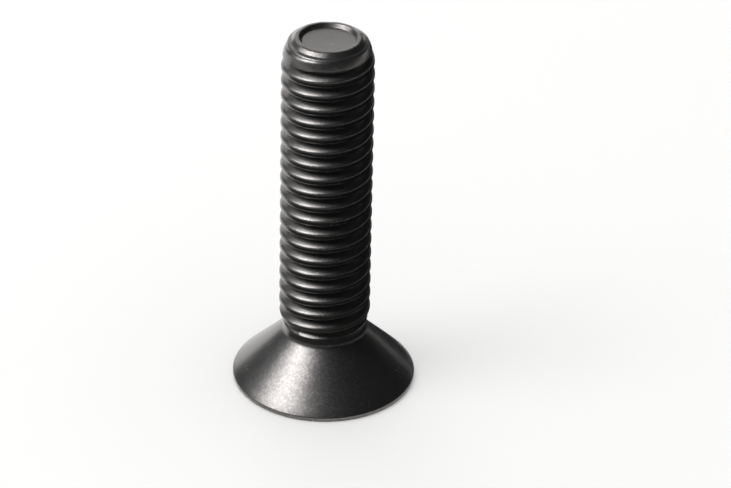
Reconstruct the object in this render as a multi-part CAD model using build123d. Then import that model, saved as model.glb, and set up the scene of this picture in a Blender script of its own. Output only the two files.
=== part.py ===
# Countersunk socket screw: M6 x 1 thread, 90 degree head with a hexagon socket, nominal length 25.
#
# The screw is one piece of steel, and it stands on its head: z = 0 is the head's flat face, Z is the
# screw's axis, and the tip is at the top. The right-hand thread is a true helix. It is built turn by
# turn from ruled faces, then trimmed to its run-out at the neck and to the tapered tip with its shallow crater.
from build123d import *
from math import ceil, cos, radians, tan
import os

# Overall
screw_length = 24.8          # head face to tip: nominal 25, inside its tolerance of 0.42

# Head
head_diameter = 11.8         # over the land
land_height = 0.3            # straight rim between the head face and the seat
seat_angle = 90              # full angle of the countersunk seat

# Hexagon socket
socket_width = 4.02          # across flats
socket_depth = 2.2           # head face to the end of the hexagon's corners
socket_floor_angle = 120     # full angle of the cone that the punch leaves at the bottom

# Thread, ISO metric profile
thread_diameter = 5.87       # over the crests: nominal 6, less its 6g allowance and tolerance
thread_pitch = 1.0
flank_angle = 60             # full angle between two flanks
crest_share = 0.2            # flat on the crest, as a share of the pitch
root_share = 0.36            # flat at the root, as a share of the pitch: it spans the rounded root
thread_angle = 301           # turns the thread about the axis

# Neck, as thick as the rolling blank
neck_height = 0.25           # plain stretch between the seat and the thread
run_out = 1.15               # length over which the thread rises from the neck

# Tip
tip_chamfer_length = 1.15    # over which the thread tapers to the edge of the end
tip_chamfer_depth = 0.435    # how far it tapers, on the radius
end_rise = 0.32              # from the edge of the end up to the lip of the crater
lip_width = 0.55             # edge of the end to the lip, on the radius
crater_wall = 0.3            # lip to crater floor, on the radius
crater_depth = 0.42          # of the shallow crater that rolling leaves in the end

# Worked out from the sizes above
head_radius = head_diameter / 2
crest_radius = thread_diameter / 2
crest_flat = crest_share * thread_pitch
root_flat = root_share * thread_pitch
flank_rise = (thread_pitch - crest_flat - root_flat) / 2
root_radius = crest_radius - flank_rise / tan(radians(flank_angle / 2))
neck_radius = crest_radius - (thread_pitch / 2 - crest_flat) / 2 / tan(radians(flank_angle / 2))
tip_radius = crest_radius - tip_chamfer_depth
lip_radius = tip_radius - lip_width
floor_radius = lip_radius - crater_wall
seat_top = land_height + (head_radius - neck_radius) / tan(radians(seat_angle / 2))
neck_top = seat_top + neck_height
thread_start = neck_top + run_out
tip_edge_height = screw_length - end_rise
chamfer_start = tip_edge_height - tip_chamfer_length


def extended(start, end):
    """The ends of a line half as long again at each end, so that what it sweeps cuts right through."""
    half = [(b - a) / 2 for a, b in zip(start, end)]
    low = tuple(a - h for a, h in zip(start, half))
    high = tuple(b + h for b, h in zip(end, half))
    return low, high


def turned(*points):
    """The solid that a closed outline of (radius, height) points sweeps about the screw's axis."""
    return revolve(Plane.XZ * make_face(Polyline(*points, close=True)), Axis.Z)


def threaded_bar(bottom, top):
    """A bar with full thread, in whole turns from bottom to at least top.

    A turn has four helical faces, the root, the crest and a flank on each side of it, and shares its
    edges with the turns above and below. At each end a helicoid and a flat step close the bar.
    """
    turn_profile = [
        (root_radius, 0),
        (root_radius, root_flat),
        (crest_radius, root_flat + flank_rise),
        (crest_radius, root_flat + flank_rise + crest_flat),
        (root_radius, thread_pitch),
    ]

    def helix(radius, height):
        return Edge.make_helix(thread_pitch, thread_pitch, radius, center=(0, 0, height))

    turns = ceil((top - bottom) / thread_pitch)
    starts = [bottom + turn * thread_pitch for turn in range(turns + 1)]
    faces = []
    for start in starts[:-1]:
        edges = [helix(radius, start + rise) for radius, rise in turn_profile]
        faces += [Face.make_surface_from_curves(a, b) for a, b in zip(edges, edges[1:])]
    for end in (starts[0], starts[-1]):
        axis_low, axis_high = Vector(0, 0, end), Vector(0, 0, end + thread_pitch)
        axis_line = Edge.make_line(axis_low, axis_high)
        faces.append(Face.make_surface_from_curves(axis_line, helix(root_radius, end)))
        step = [(radius, 0, end + rise) for radius, rise in turn_profile]
        faces.append(Face(Wire.make_polygon([axis_low, *step, axis_high])))
    return Rot(Z=thread_angle) * Solid(Shell(faces))


def tip_core():
    """The blank's tapered end, on which the thread grooves run out before the end face."""
    low, high = extended((root_radius, chamfer_start), (tip_radius, tip_edge_height))
    return turned((0, low[1]), low, high, (0, high[1]))


def trimming_envelope():
    """What the thread is cut down to: the run-out cone, the tip's chamfer and the cratered end."""
    run_low, run_high = extended((neck_radius, neck_top), (crest_radius, thread_start))
    tip_edge = (tip_radius, tip_edge_height)
    chamfer_low, _ = extended((crest_radius, chamfer_start), tip_edge)
    crater_floor = screw_length - crater_depth
    return turned(
        (0, run_low[1]),
        run_low,
        run_high,
        chamfer_low,
        tip_edge,
        (lip_radius, screw_length),
        (floor_radius, crater_floor),
        (0, crater_floor),
    )


def head_and_neck():
    """The countersunk head, the neck and the cone on which the thread grooves run out."""
    _, groove_end = extended((neck_radius, neck_top), (root_radius, thread_start))
    return turned(
        (0, 0),
        (head_radius, 0),
        (head_radius, land_height),
        (neck_radius, seat_top),
        (neck_radius, neck_top),
        groove_end,
        (0, groove_end[1]),
    )


def socket_punch():
    """The hexagonal punch that forms the socket, with its conical point."""
    corner_radius = socket_width / 2 / cos(radians(30))
    point_tip = (0, socket_depth + corner_radius / tan(radians(socket_floor_angle / 2)))
    _, point_foot = extended(point_tip, (corner_radius, socket_depth))
    point = turned(point_tip, point_foot, (point_foot[0], -socket_depth), (0, -socket_depth))
    hexagon = RegularPolygon(socket_width / 2, 6, major_radius=False)
    return extrude(hexagon, point_tip[1]) & point


shank = (threaded_bar(seat_top - thread_pitch, screw_length) + tip_core()) & trimming_envelope()
screw = head_and_neck() + shank - socket_punch()

os.makedirs("parts", exist_ok=True)
export_step(screw, "parts/screw.step")
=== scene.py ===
from math import cos, pi, radians, sin, sqrt, tan

import bmesh
import bpy
from mathutils import Matrix, Vector


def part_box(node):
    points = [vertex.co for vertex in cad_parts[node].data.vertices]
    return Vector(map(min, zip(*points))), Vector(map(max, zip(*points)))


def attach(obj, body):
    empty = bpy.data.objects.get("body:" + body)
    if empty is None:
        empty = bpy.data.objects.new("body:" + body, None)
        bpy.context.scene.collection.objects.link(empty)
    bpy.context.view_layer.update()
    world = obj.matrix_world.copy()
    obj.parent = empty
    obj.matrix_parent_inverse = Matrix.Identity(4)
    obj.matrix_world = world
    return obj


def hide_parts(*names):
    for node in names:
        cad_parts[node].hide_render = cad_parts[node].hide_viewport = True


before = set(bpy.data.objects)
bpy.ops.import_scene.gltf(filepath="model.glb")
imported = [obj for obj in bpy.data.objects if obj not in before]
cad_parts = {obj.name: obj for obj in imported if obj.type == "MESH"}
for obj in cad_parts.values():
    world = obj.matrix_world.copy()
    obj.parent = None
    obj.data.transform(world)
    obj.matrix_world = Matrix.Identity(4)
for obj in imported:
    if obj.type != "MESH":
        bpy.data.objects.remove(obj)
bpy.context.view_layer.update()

mm = 0.001
xAxis = Vector((1, 0))
steps = 120  # faces round the screw, a multiple of 6 so that the hexagon's corners fall on vertices
mergeDistance = 0.0005  # in millimetres, as all lengths are until the mesh is scaled

screwLow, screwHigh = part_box("screw")
screwLength = (screwHigh[2] - screwLow[2]) / mm
headRadius = (screwHigh[0] - screwLow[0]) / 2 / mm


class Value:  # a shader socket that Python operators can work on
    def __init__(self, shader, socket):
        self.shader = shader
        self.socket = socket

    def math(self, operation, other, reflected=False):
        first, second = (other, self) if reflected else (self, other)
        return self.shader.node("ShaderNodeMath", {"operation": operation}, {0: first, 1: second})

    def __add__(self, other):
        return self.math("ADD", other)

    def __mul__(self, other):
        return self.math("MULTIPLY", other)

    def __sub__(self, other):
        return self.math("SUBTRACT", other)

    def __rsub__(self, other):
        return self.math("SUBTRACT", other, reflected=True)

    __radd__ = __add__
    __rmul__ = __mul__

    def rising(self, low, high):  # 0 below low, 1 above high, smooth between them
        settings = {"interpolation_type": "SMOOTHSTEP"}
        sockets = {"Value": self, "From Min": low, "From Max": high}
        return self.shader.node("ShaderNodeMapRange", settings, sockets)


class Shader:  # the node tree of a material or of the world
    def __init__(self, owner):
        owner.use_nodes = True
        self.tree = owner.node_tree
        self.tree.nodes.clear()

    def node(self, kind, settings={}, sockets={}, output=0):
        made = self.tree.nodes.new(kind)
        for key, setting in settings.items():
            setattr(made, key, setting)
        for key, value in sockets.items():
            if isinstance(value, Value):
                self.tree.links.new(value.socket, made.inputs[key])
            else:
                made.inputs[key].default_value = value
        return Value(self, made.outputs[output]) if made.outputs else None

    def mixColor(self, factor, first, second):
        settings = {"data_type": "RGBA"}
        return self.node("ShaderNodeMix", settings, {0: factor, 6: first, 7: second}, output=2)

    def noise(self, place, scale, detail, roughness=0.5):
        sockets = {"Vector": place, "Scale": scale, "Detail": detail, "Roughness": roughness}
        return self.node("ShaderNodeTexNoise", {}, sockets)

    def place(self):  # object coordinates in millimetres
        at = self.node("ShaderNodeTexCoord", output=3)
        return self.node("ShaderNodeMapping", {}, {"Vector": at, "Scale": (1 / mm, 1 / mm, 1 / mm)})


def newMaterial(name):
    material = bpy.data.materials.new(name)
    return material, Shader(material)


screw = {  # lengths in mm
    "landHeight": 0.3,  # of the straight rim below the seat
    "rimRound": 0.1,
    "neckRadius": 2.61,
    "neckFillet": 0.55,
    "neckHeight": 0.25,
    "runOut": 1.15,  # length over which the thread rises from the neck
    "socketWidth": 4.02,  # across flats
    "socketDepth": 2.2,
    "socketEdge": 0.06,  # taken off the edge of the mouth
    "punchAngle": 120,  # full angle of the point that the punch leaves at the bottom
    "pitch": 1.0,
    "flankAngle": 60,  # full angle between two flanks
    "crestRadius": 2.935,
    "crestRound": 0.3,
    "rootRound": 0.04,
    "crestAtFront": 0.0,  # a crest's height at the front, in pitches and a fraction
    "shoulderRound": 4.0,  # radius on which the thread's outside bends in to the end
    "fadeHeight": 0.5,  # height below the end over which the grooves fade
    "fadeDepth": 0.05,  # depth of groove that is left there
    "trimBlend": 0.05,  # softness where the thread is trimmed
    "endJoin": 0.08,  # how far below the end's edge its mesh meets the thread's
}

end = {  # the end face: radius, and height below the lip, with what each corner's rounding takes
    "bead": (2.53, -0.34, 0.07),
    "valley": (2.42, -0.3, 0.04),
    "lipFoot": (2.31, -0.25, 0.04),
    "lipOut": (2.07, 0, 0.07),
    "lipIn": (1.83, 0, 0.06),
    "wallFoot": (1.67, -0.27, 0.07),
    "floor": (0, -0.31, 0),
    "unevenness": 0.03,  # of the lip, which the rolling pushes up
    "unevenReach": 0.45,  # how far from the lip it fades out
    "ripples": ((3, 1.0), (7, 0.7), (13, -0.5)),  # waves round the lip, and the share of each
}

seatTop = screw["landHeight"] + headRadius - screw["neckRadius"]  # the seat rises at 45 degrees
neckTop = seatTop + screw["neckHeight"]
threadStart = neckTop + screw["runOut"]
endRadius, endRise, _ = end["bead"]
endHeight = screwLength + endRise
endCut = endHeight - screw["endJoin"]
bend = screw["shoulderRound"] - screw["crestRadius"] + endRadius
shoulderStart = endHeight - sqrt(screw["shoulderRound"] ** 2 - bend ** 2)


def line(points):  # a bmesh with an open line through (radius, height) points
    bm = bmesh.new()
    verts = [bm.verts.new((radius, 0, height)) for radius, height in points]
    for a, b in zip(verts, verts[1:]):
        bm.edges.new((a, b))
    return bm, verts


def roundCorner(bm, vert, length, segments=4):  # length is taken off both edges of the corner
    bmesh.ops.bevel(bm, geom=[vert], offset=length, offset_type="OFFSET", segments=segments,
                    profile=0.5, affect="VERTICES", material=-1)


def edgesOver(bm, length):
    return [edge for edge in bm.edges if edge.calc_length() > length]


def turned(bm):  # the line spun once about the screw's axis
    bmesh.ops.spin(bm, geom=bm.verts[:] + bm.edges[:], cent=(0, 0, 0), axis=(0, 0, 1),
                   dvec=(0, 0, 0), angle=2 * pi, steps=steps, use_merge=True)
    bmesh.ops.remove_doubles(bm, verts=bm.verts[:], dist=mergeDistance)  # closes the pole


def softMin(a, b, blend):
    h = max(blend - abs(a - b), 0) / blend
    return min(a, b) - h * h * blend / 4


def softMax(a, b, blend):
    return -softMin(-a, -b, blend)


def between(start, end, z):  # radius at height z on the line through two (radius, height) points
    return start[0] + (end[0] - start[0]) * (z - start[1]) / (end[1] - start[1])


def outside(s, z):  # the radius that the thread is trimmed to: its run-out and the end's shoulder
    runOut = between((s["neckRadius"], neckTop), (s["crestRadius"], threadStart), z)
    up = min(max(z - shoulderStart, 0), s["shoulderRound"])
    inward = s["shoulderRound"] - sqrt(s["shoulderRound"] ** 2 - up ** 2)
    return min(runOut, s["crestRadius"] - inward)


def makeThread(s):
    pitch = s["pitch"]
    flankTan = tan(radians(s["flankAngle"] / 2))
    crestApex = s["crestRadius"] + s["crestRound"]  # of the pointed profile before its rounding
    rootApex = crestApex - pitch / 2 / flankTan
    rootRadius = rootApex + s["rootRound"]

    # one pitch of the profile, from a point on a flank, with its crest and root rounded
    share = s["crestRound"] / (s["crestRound"] + s["rootRound"])  # of the flank, for the crest
    flank = crestApex + (rootApex - crestApex) * share
    crest = share * pitch / 2
    bm, verts = line([(flank, 0), (crestApex, crest), (rootApex, crest + pitch / 2), (flank, pitch)])
    roundCorner(bm, verts[1], s["crestRound"] / flankTan, segments=8)
    roundCorner(bm, verts[2], s["rootRound"] / flankTan, segments=6)
    bmesh.ops.subdivide_edges(bm, edges=edgesOver(bm, pitch / 10), cuts=2)

    # one turn of it wound round the axis, then copied up the shank, and the turns joined
    bottom = neckTop - 1.5 * pitch  # low enough for the cut at the neck to cross whole turns
    turns = int((screwLength - bottom) / pitch) + 1
    bmesh.ops.translate(bm, verts=bm.verts[:], vec=(0, 0, bottom))
    bmesh.ops.spin(bm, geom=bm.verts[:] + bm.edges[:], cent=(0, 0, 0), axis=(0, 0, 1),
                   dvec=(0, 0, pitch / steps), angle=2 * pi, steps=steps)
    firstTurn = bm.verts[:] + bm.edges[:] + bm.faces[:]
    for turn in range(1, turns):
        copied = bmesh.ops.duplicate(bm, geom=firstTurn)["geom"]
        moved = [v for v in copied if isinstance(v, bmesh.types.BMVert)]
        bmesh.ops.translate(bm, verts=moved, vec=(0, 0, turn * pitch))
    bmesh.ops.remove_doubles(bm, verts=bm.verts[:], dist=mergeDistance)
    front = 1.5 * pi
    startAngle = front - 2 * pi * (s["crestAtFront"] - bottom - crest) / pitch
    bmesh.ops.rotate(bm, verts=bm.verts[:], cent=(0, 0, 0),
                     matrix=Matrix.Rotation(startAngle, 3, "Z"))

    # trimmed to its outside, with grooves that fade at both ends
    fadeStart = endCut - s["fadeHeight"]
    endCore = max(endRadius - s["fadeDepth"], rootRadius)
    for vert in bm.verts:
        radius, z = vert.co.xy.length, vert.co.z
        core = between((s["neckRadius"], neckTop), (rootRadius, threadStart), z)
        core = max(core, between((rootRadius, fadeStart), (endCore, endCut), z))
        trimmed = softMax(radius, core, s["trimBlend"])
        trimmed = softMin(trimmed, outside(s, z), s["trimBlend"])
        vert.co.xy *= trimmed / radius
    for height, normal in ((neckTop, (0, 0, -1)), (endCut, (0, 0, 1))):
        bmesh.ops.bisect_plane(bm, geom=bm.verts[:] + bm.edges[:] + bm.faces[:], dist=1e-6,
                               plane_co=(0, 0, height), plane_no=normal, clear_outer=True)
    return bm


def makeEnd(s, e):
    names = ("bead", "valley", "lipFoot", "lipOut", "lipIn", "wallFoot", "floor")
    corners = [e[name] for name in names]
    points = [(outside(s, endCut), endCut)]
    points += [(radius, screwLength + height) for radius, height, rounding in corners]
    bm, verts = line(points)
    for vert, (radius, height, rounding) in zip(verts[1:], corners):
        if rounding:
            roundCorner(bm, vert, rounding)
    floorRadius = e["wallFoot"][0]
    bmesh.ops.subdivide_edges(bm, edges=edgesOver(bm, floorRadius / 2), cuts=5)
    turned(bm)

    # the lip is a little uneven
    highest = sum(abs(share) for count, share in e["ripples"])
    for vert in bm.verts:
        fade = max(0, 1 - abs(vert.co.xy.length - e["lipOut"][0]) / e["unevenReach"])
        if fade > 0:
            angle = xAxis.angle_signed(vert.co.xy)
            wave = sum(share * sin(count * angle) for count, share in e["ripples"])
            vert.co.z -= e["unevenness"] * fade * (wave / highest + 1)
    return bm


def makeHead(s):
    flat = s["socketWidth"] / 2
    corner = flat / cos(radians(30))
    mouth = corner + s["socketEdge"]
    floorSlope = 1 / tan(radians(s["punchAngle"] / 2))
    points = [(s["neckRadius"], neckTop), (s["neckRadius"], seatTop)]
    points += [(headRadius, s["landHeight"]), (headRadius, 0)]
    points += [(mouth, 0), (corner, s["socketEdge"])]
    for radius in (corner, corner * 2 / 3, corner / 3, 0):
        points.append((radius, s["socketDepth"] + (corner - radius) * floorSlope))
    bm, verts = line(points)
    turnOfSeat = tan(radians(45) / 2)  # what a rounding takes off, over its radius
    roundCorner(bm, verts[1], s["neckFillet"] * turnOfSeat, segments=6)
    roundCorner(bm, verts[2], s["rimRound"] * turnOfSeat)
    roundCorner(bm, verts[3], s["rimRound"])
    seat = [e for e in edgesOver(bm, 2) if min(v.co.z for v in e.verts) > s["rimRound"]]
    bmesh.ops.subdivide_edges(bm, edges=seat, cuts=9)
    turned(bm)

    # the rings of the socket take the hexagon's outline
    for vert in bm.verts:
        radius = vert.co.xy.length
        if radius < mergeDistance or radius > mouth + mergeDistance:
            continue
        angle = xAxis.angle_signed(vert.co.xy) % radians(60) - radians(30)
        new = flat / cos(angle) * min(radius / corner, 1) + max(radius - corner, 0)
        vert.co.xy *= new / radius
        if vert.co.z > s["socketDepth"] - mergeDistance:
            vert.co.z = s["socketDepth"] + (corner - new) * floorSlope
    return bm


def buildScrew():
    bm = makeThread(screw)
    for part in (makeEnd(screw, end), makeHead(screw)):
        mesh = bpy.data.meshes.new("part")
        part.to_mesh(mesh)
        part.free()
        bm.from_mesh(mesh)
        bpy.data.meshes.remove(mesh)
    for height in (endCut, neckTop):
        rims = [e for e in bm.edges
                if e.is_boundary and abs(e.verts[0].co.z - height) < mergeDistance]
        bmesh.ops.bridge_loops(bm, edges=rims)
    bmesh.ops.remove_doubles(bm, verts=bm.verts[:], dist=mergeDistance)
    bmesh.ops.recalc_face_normals(bm, faces=bm.faces[:])
    if bm.calc_volume(signed=True) < 0:
        bmesh.ops.reverse_faces(bm, faces=bm.faces[:])  # the faces point outwards
    bmesh.ops.scale(bm, verts=bm.verts[:], vec=(mm, mm, mm))
    openEdges = sum(not e.is_manifold for e in bm.edges)
    mesh = bpy.data.meshes.new("countersunkScrew")
    bm.to_mesh(mesh)
    bm.free()
    mesh.shade_smooth()
    mesh.set_sharp_from_angle(angle=radians(32))  # which keeps the socket's edges
    piece = bpy.data.objects.new("countersunkScrew", mesh)
    bpy.context.scene.collection.objects.link(piece)
    print("screw:", len(mesh.polygons), "faces,", openEdges, "open edges")
    return piece


finish = {
    "steel": (0.165, 0.155, 0.15, 1),
    "steelDark": (0.105, 0.098, 0.094, 1),
    "roughness": 0.24,
    "film": 0.9,  # the oily film, which adds a broader, weaker gloss
    "filmIor": 1.6,
    "filmRoughness": 0.43,
    "cloudScale": 1.3,  # broad mottling, per mm
    "cloudTint": 0.8,
    "cloudGloss": 0.12,
    "speckleScale": 6.0,  # fine mottling, per mm
    "speckleRange": (0.3, 0.7),
    "speckleTint": 0.9,
    "speckleGloss": 0.04,
    "grain": 0.004,  # height of the mottling on the forged head, mm
    "rolledShare": 0.85,  # share of the mottling that is left on the rolled thread
    "rolledFade": 0.3,  # height below the neck over which it fades, mm
}


def blackOxide(f):
    material, shader = newMaterial("blackOxide")
    place = shader.place()
    height = shader.node("ShaderNodeSeparateXYZ", {}, {0: place}, output=2)
    rolled = height.rising(seatTop - f["rolledFade"], neckTop)
    forged = 1 - rolled * (1 - f["rolledShare"])
    cloud = shader.noise(place, f["cloudScale"], detail=5.0, roughness=0.6)
    speckle = shader.noise(place, f["speckleScale"], detail=1.2)
    patches = cloud - 0.5
    spots = (speckle.rising(*f["speckleRange"]) - 0.5) * forged
    tint = 0.5 + spots * f["speckleTint"] + patches * f["cloudTint"]
    color = shader.mixColor(tint, f["steelDark"], f["steel"])
    roughness = f["roughness"] + spots * f["speckleGloss"] + patches * f["cloudGloss"]
    bump = shader.node("ShaderNodeBump", {}, {
        "Strength": 1.0, "Distance": f["grain"] * mm, "Height": (speckle + cloud) * forged})
    surface = shader.node("ShaderNodeBsdfPrincipled", {}, {
        "Base Color": color, "Metallic": 1.0, "Roughness": roughness, "Normal": bump,
        "Coat Weight": f["film"], "Coat Roughness": f["filmRoughness"], "Coat IOR": f["filmIor"]})
    shader.node("ShaderNodeOutputMaterial", {}, {"Surface": surface})
    return material


studio = {
    "floorColor": (0.93, 0.925, 0.92, 1),
    "floorReach": 20.0,  # m
    "clearNear": 0.05,  # the floor is plainly lit out to here and plain white from clearFar on, m
    "clearFar": 0.16,
    "fill": 0.88,  # strength of the light from all round
    "room": 0.008,  # how bright the room above the horizon looks in reflections
    "horizon": 2.0,  # degrees of white above the floor's edge
    "horizonSoftness": 0.5,
    "keyFrom": (-0.625, -0.203, 0.753),
    "keyAim": (0, 0, 0.01),
    "keyDistance": 0.3,
    "keySize": 0.165,
    "keyRadiance": 2.5,
    "glintRadiance": 26.0,  # of a lamp at the key light's place that only reflections show
    "backTurn": 11.0,  # degrees to the left of straight behind
    "backWidth": 54.0,  # degrees
    "backTop": 50.0,
    "backDistance": 0.3,
    "backRadiance": 0.9,
    "cardColor": (0.006, 0.006, 0.006, 1),
    "cardHeight": 0.0001,  # the dark card lies just over the floor, round the front and right, m
    "cardInside": 0.0065,
    "cardOutside": 0.3,
    "cardFrom": -175.0,  # degrees from the front, positive to the left
    "cardTo": 104.0,
}


def seenPlainly(shader):  # 1 for the rays at these outputs: camera, glossy and transmission
    camera, glossy, transmission = [
        shader.node("ShaderNodeLightPath", output=index) for index in (0, 3, 6)]
    return camera + glossy + transmission


def makeFloor(s):
    mesh = bpy.data.meshes.new("floor")
    bm = bmesh.new()
    bmesh.ops.create_grid(bm, x_segments=1, y_segments=1, size=s["floorReach"])
    bm.to_mesh(mesh)
    bm.free()
    floor = bpy.data.objects.new("floor", mesh)
    bpy.context.scene.collection.objects.link(floor)
    material, shader = newMaterial("paleFloor")
    at = shader.node("ShaderNodeTexCoord", output=3)
    away = shader.node("ShaderNodeVectorMath", {"operation": "LENGTH"}, {0: at}, output=1)
    lit = shader.node("ShaderNodeBsdfDiffuse", {}, {"Color": s["floorColor"]})
    plain = shader.node("ShaderNodeEmission", {}, {"Color": (1, 1, 1, 1), "Strength": 1.0})
    factor = away.rising(s["clearNear"], s["clearFar"]) * seenPlainly(shader)
    surface = shader.node("ShaderNodeMixShader", {}, {0: factor, 1: lit, 2: plain})
    shader.node("ShaderNodeOutputMaterial", {}, {"Surface": surface})
    mesh.materials.append(material)


def makeWorld(s):
    world = bpy.data.worlds.new("studio")
    bpy.context.scene.world = world
    shader = Shader(world)
    direction = shader.node("ShaderNodeTexCoord", output=0)
    height = shader.node("ShaderNodeSeparateXYZ", {}, {0: direction}, output=2)
    start = sin(radians(s["horizon"] - s["horizonSoftness"]))
    stop = sin(radians(s["horizon"] + s["horizonSoftness"]))
    low = 1 - height.rising(start, stop)
    seen = seenPlainly(shader).math("MINIMUM", 1.0)
    strength = seen * (low * (1 - s["room"]) + s["room"]) + (1 - seen) * s["fill"]
    background = shader.node("ShaderNodeBackground", {}, {
        "Color": (1, 1, 1, 1), "Strength": strength})
    shader.node("ShaderNodeOutputWorld", {}, {"Surface": background})


def addSoftbox(name, place, outward, width, height, radiance, shape="RECTANGLE"):
    data = bpy.data.lights.new(name, "AREA")
    data.shape = shape
    data.size = width
    data.size_y = height
    area = width * height * (1 if shape == "RECTANGLE" else pi / 4)
    data.energy = radiance * pi * area
    lamp = bpy.data.objects.new(name, data)
    bpy.context.scene.collection.objects.link(lamp)
    lamp.matrix_world = (Matrix.Translation(place)
                         @ outward.to_track_quat("Z", "Y").to_matrix().to_4x4())
    lamp.visible_camera = False
    return lamp


def makeLights(s):
    toward = Vector(s["keyFrom"]).normalized()
    place = Vector(s["keyAim"]) + toward * s["keyDistance"]
    size = s["keySize"]
    addSoftbox("keyLight", place, toward, size, size, s["keyRadiance"], "ELLIPSE")
    glint = addSoftbox("glintCard", place, toward, size, size, s["glintRadiance"], "ELLIPSE")
    glint.visible_diffuse = False

    width = 2 * s["backDistance"] * tan(radians(s["backWidth"] / 2))
    height = s["backDistance"] * tan(radians(s["backTop"]))
    behind = Vector((0, 1, 0))
    place = behind * s["backDistance"] + Vector((0, 0, height / 2))
    back = addSoftbox("backLight", place, behind, width, height, s["backRadiance"])
    back.matrix_world = Matrix.Rotation(radians(s["backTurn"]), 4, "Z") @ back.matrix_world


def makeDarkCard(s):  # only reflections show it: it keeps the pale floor out of the thread's crests
    mesh = bpy.data.meshes.new("darkCard")
    bm = bmesh.new()
    reach = [bm.verts.new((0, -radius, s["cardHeight"]))
             for radius in (s["cardInside"], s["cardOutside"])]
    edge = bm.edges.new(reach)
    bmesh.ops.rotate(bm, verts=reach, cent=(0, 0, 0),
                     matrix=Matrix.Rotation(radians(-s["cardFrom"]), 3, "Z"))
    bmesh.ops.spin(bm, geom=reach + [edge], cent=(0, 0, 0), axis=(0, 0, 1), dvec=(0, 0, 0),
                   angle=-radians(s["cardTo"] - s["cardFrom"]), steps=48)
    bm.to_mesh(mesh)
    bm.free()
    card = bpy.data.objects.new("darkCard", mesh)
    bpy.context.scene.collection.objects.link(card)
    material, shader = newMaterial("darkCard")
    black = shader.node("ShaderNodeBsdfDiffuse", {}, {"Color": s["cardColor"]})
    shader.node("ShaderNodeOutputMaterial", {}, {"Surface": black})
    mesh.materials.append(material)
    card.visible_camera = False
    card.visible_diffuse = False
    card.visible_shadow = False
    card.visible_transmission = False


camera = {
    "lens": 193.94,  # mm
    "distance": 0.25,  # from the aim, m
    "elevation": 31.07,
    "aimHeight": 0.0125,
    "clipStart": 0.01,
    "pan": -0.583,  # degrees that the camera is turned off its aim
    "tilt": -0.53,
    "roll": -0.853,
}


def makeCamera(c):
    data = bpy.data.cameras.new("camera")
    data.lens = c["lens"]
    data.clip_start = c["clipStart"]
    made = bpy.data.objects.new("camera", data)
    bpy.context.scene.collection.objects.link(made)
    elevation = radians(c["elevation"])
    stand = Vector((0, -cos(elevation), sin(elevation))) * c["distance"]
    turn = (Matrix.Rotation(pi / 2 - elevation, 4, "X")
            @ Matrix.Rotation(radians(c["pan"]), 4, "Y")
            @ Matrix.Rotation(radians(c["tilt"]), 4, "X")
            @ Matrix.Rotation(radians(-c["roll"]), 4, "Z"))
    aim = Vector((0, 0, c["aimHeight"]))
    made.matrix_world = Matrix.Translation(aim + stand) @ turn
    bpy.context.scene.camera = made


piece = buildScrew()
piece.data.materials.append(blackOxide(finish))
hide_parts("screw")
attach(piece, "root")
print("screw finished")

makeFloor(studio)
makeWorld(studio)
makeLights(studio)
makeDarkCard(studio)
makeCamera(camera)
bpy.context.scene.view_settings.view_transform = "Standard"
print("studio ready")
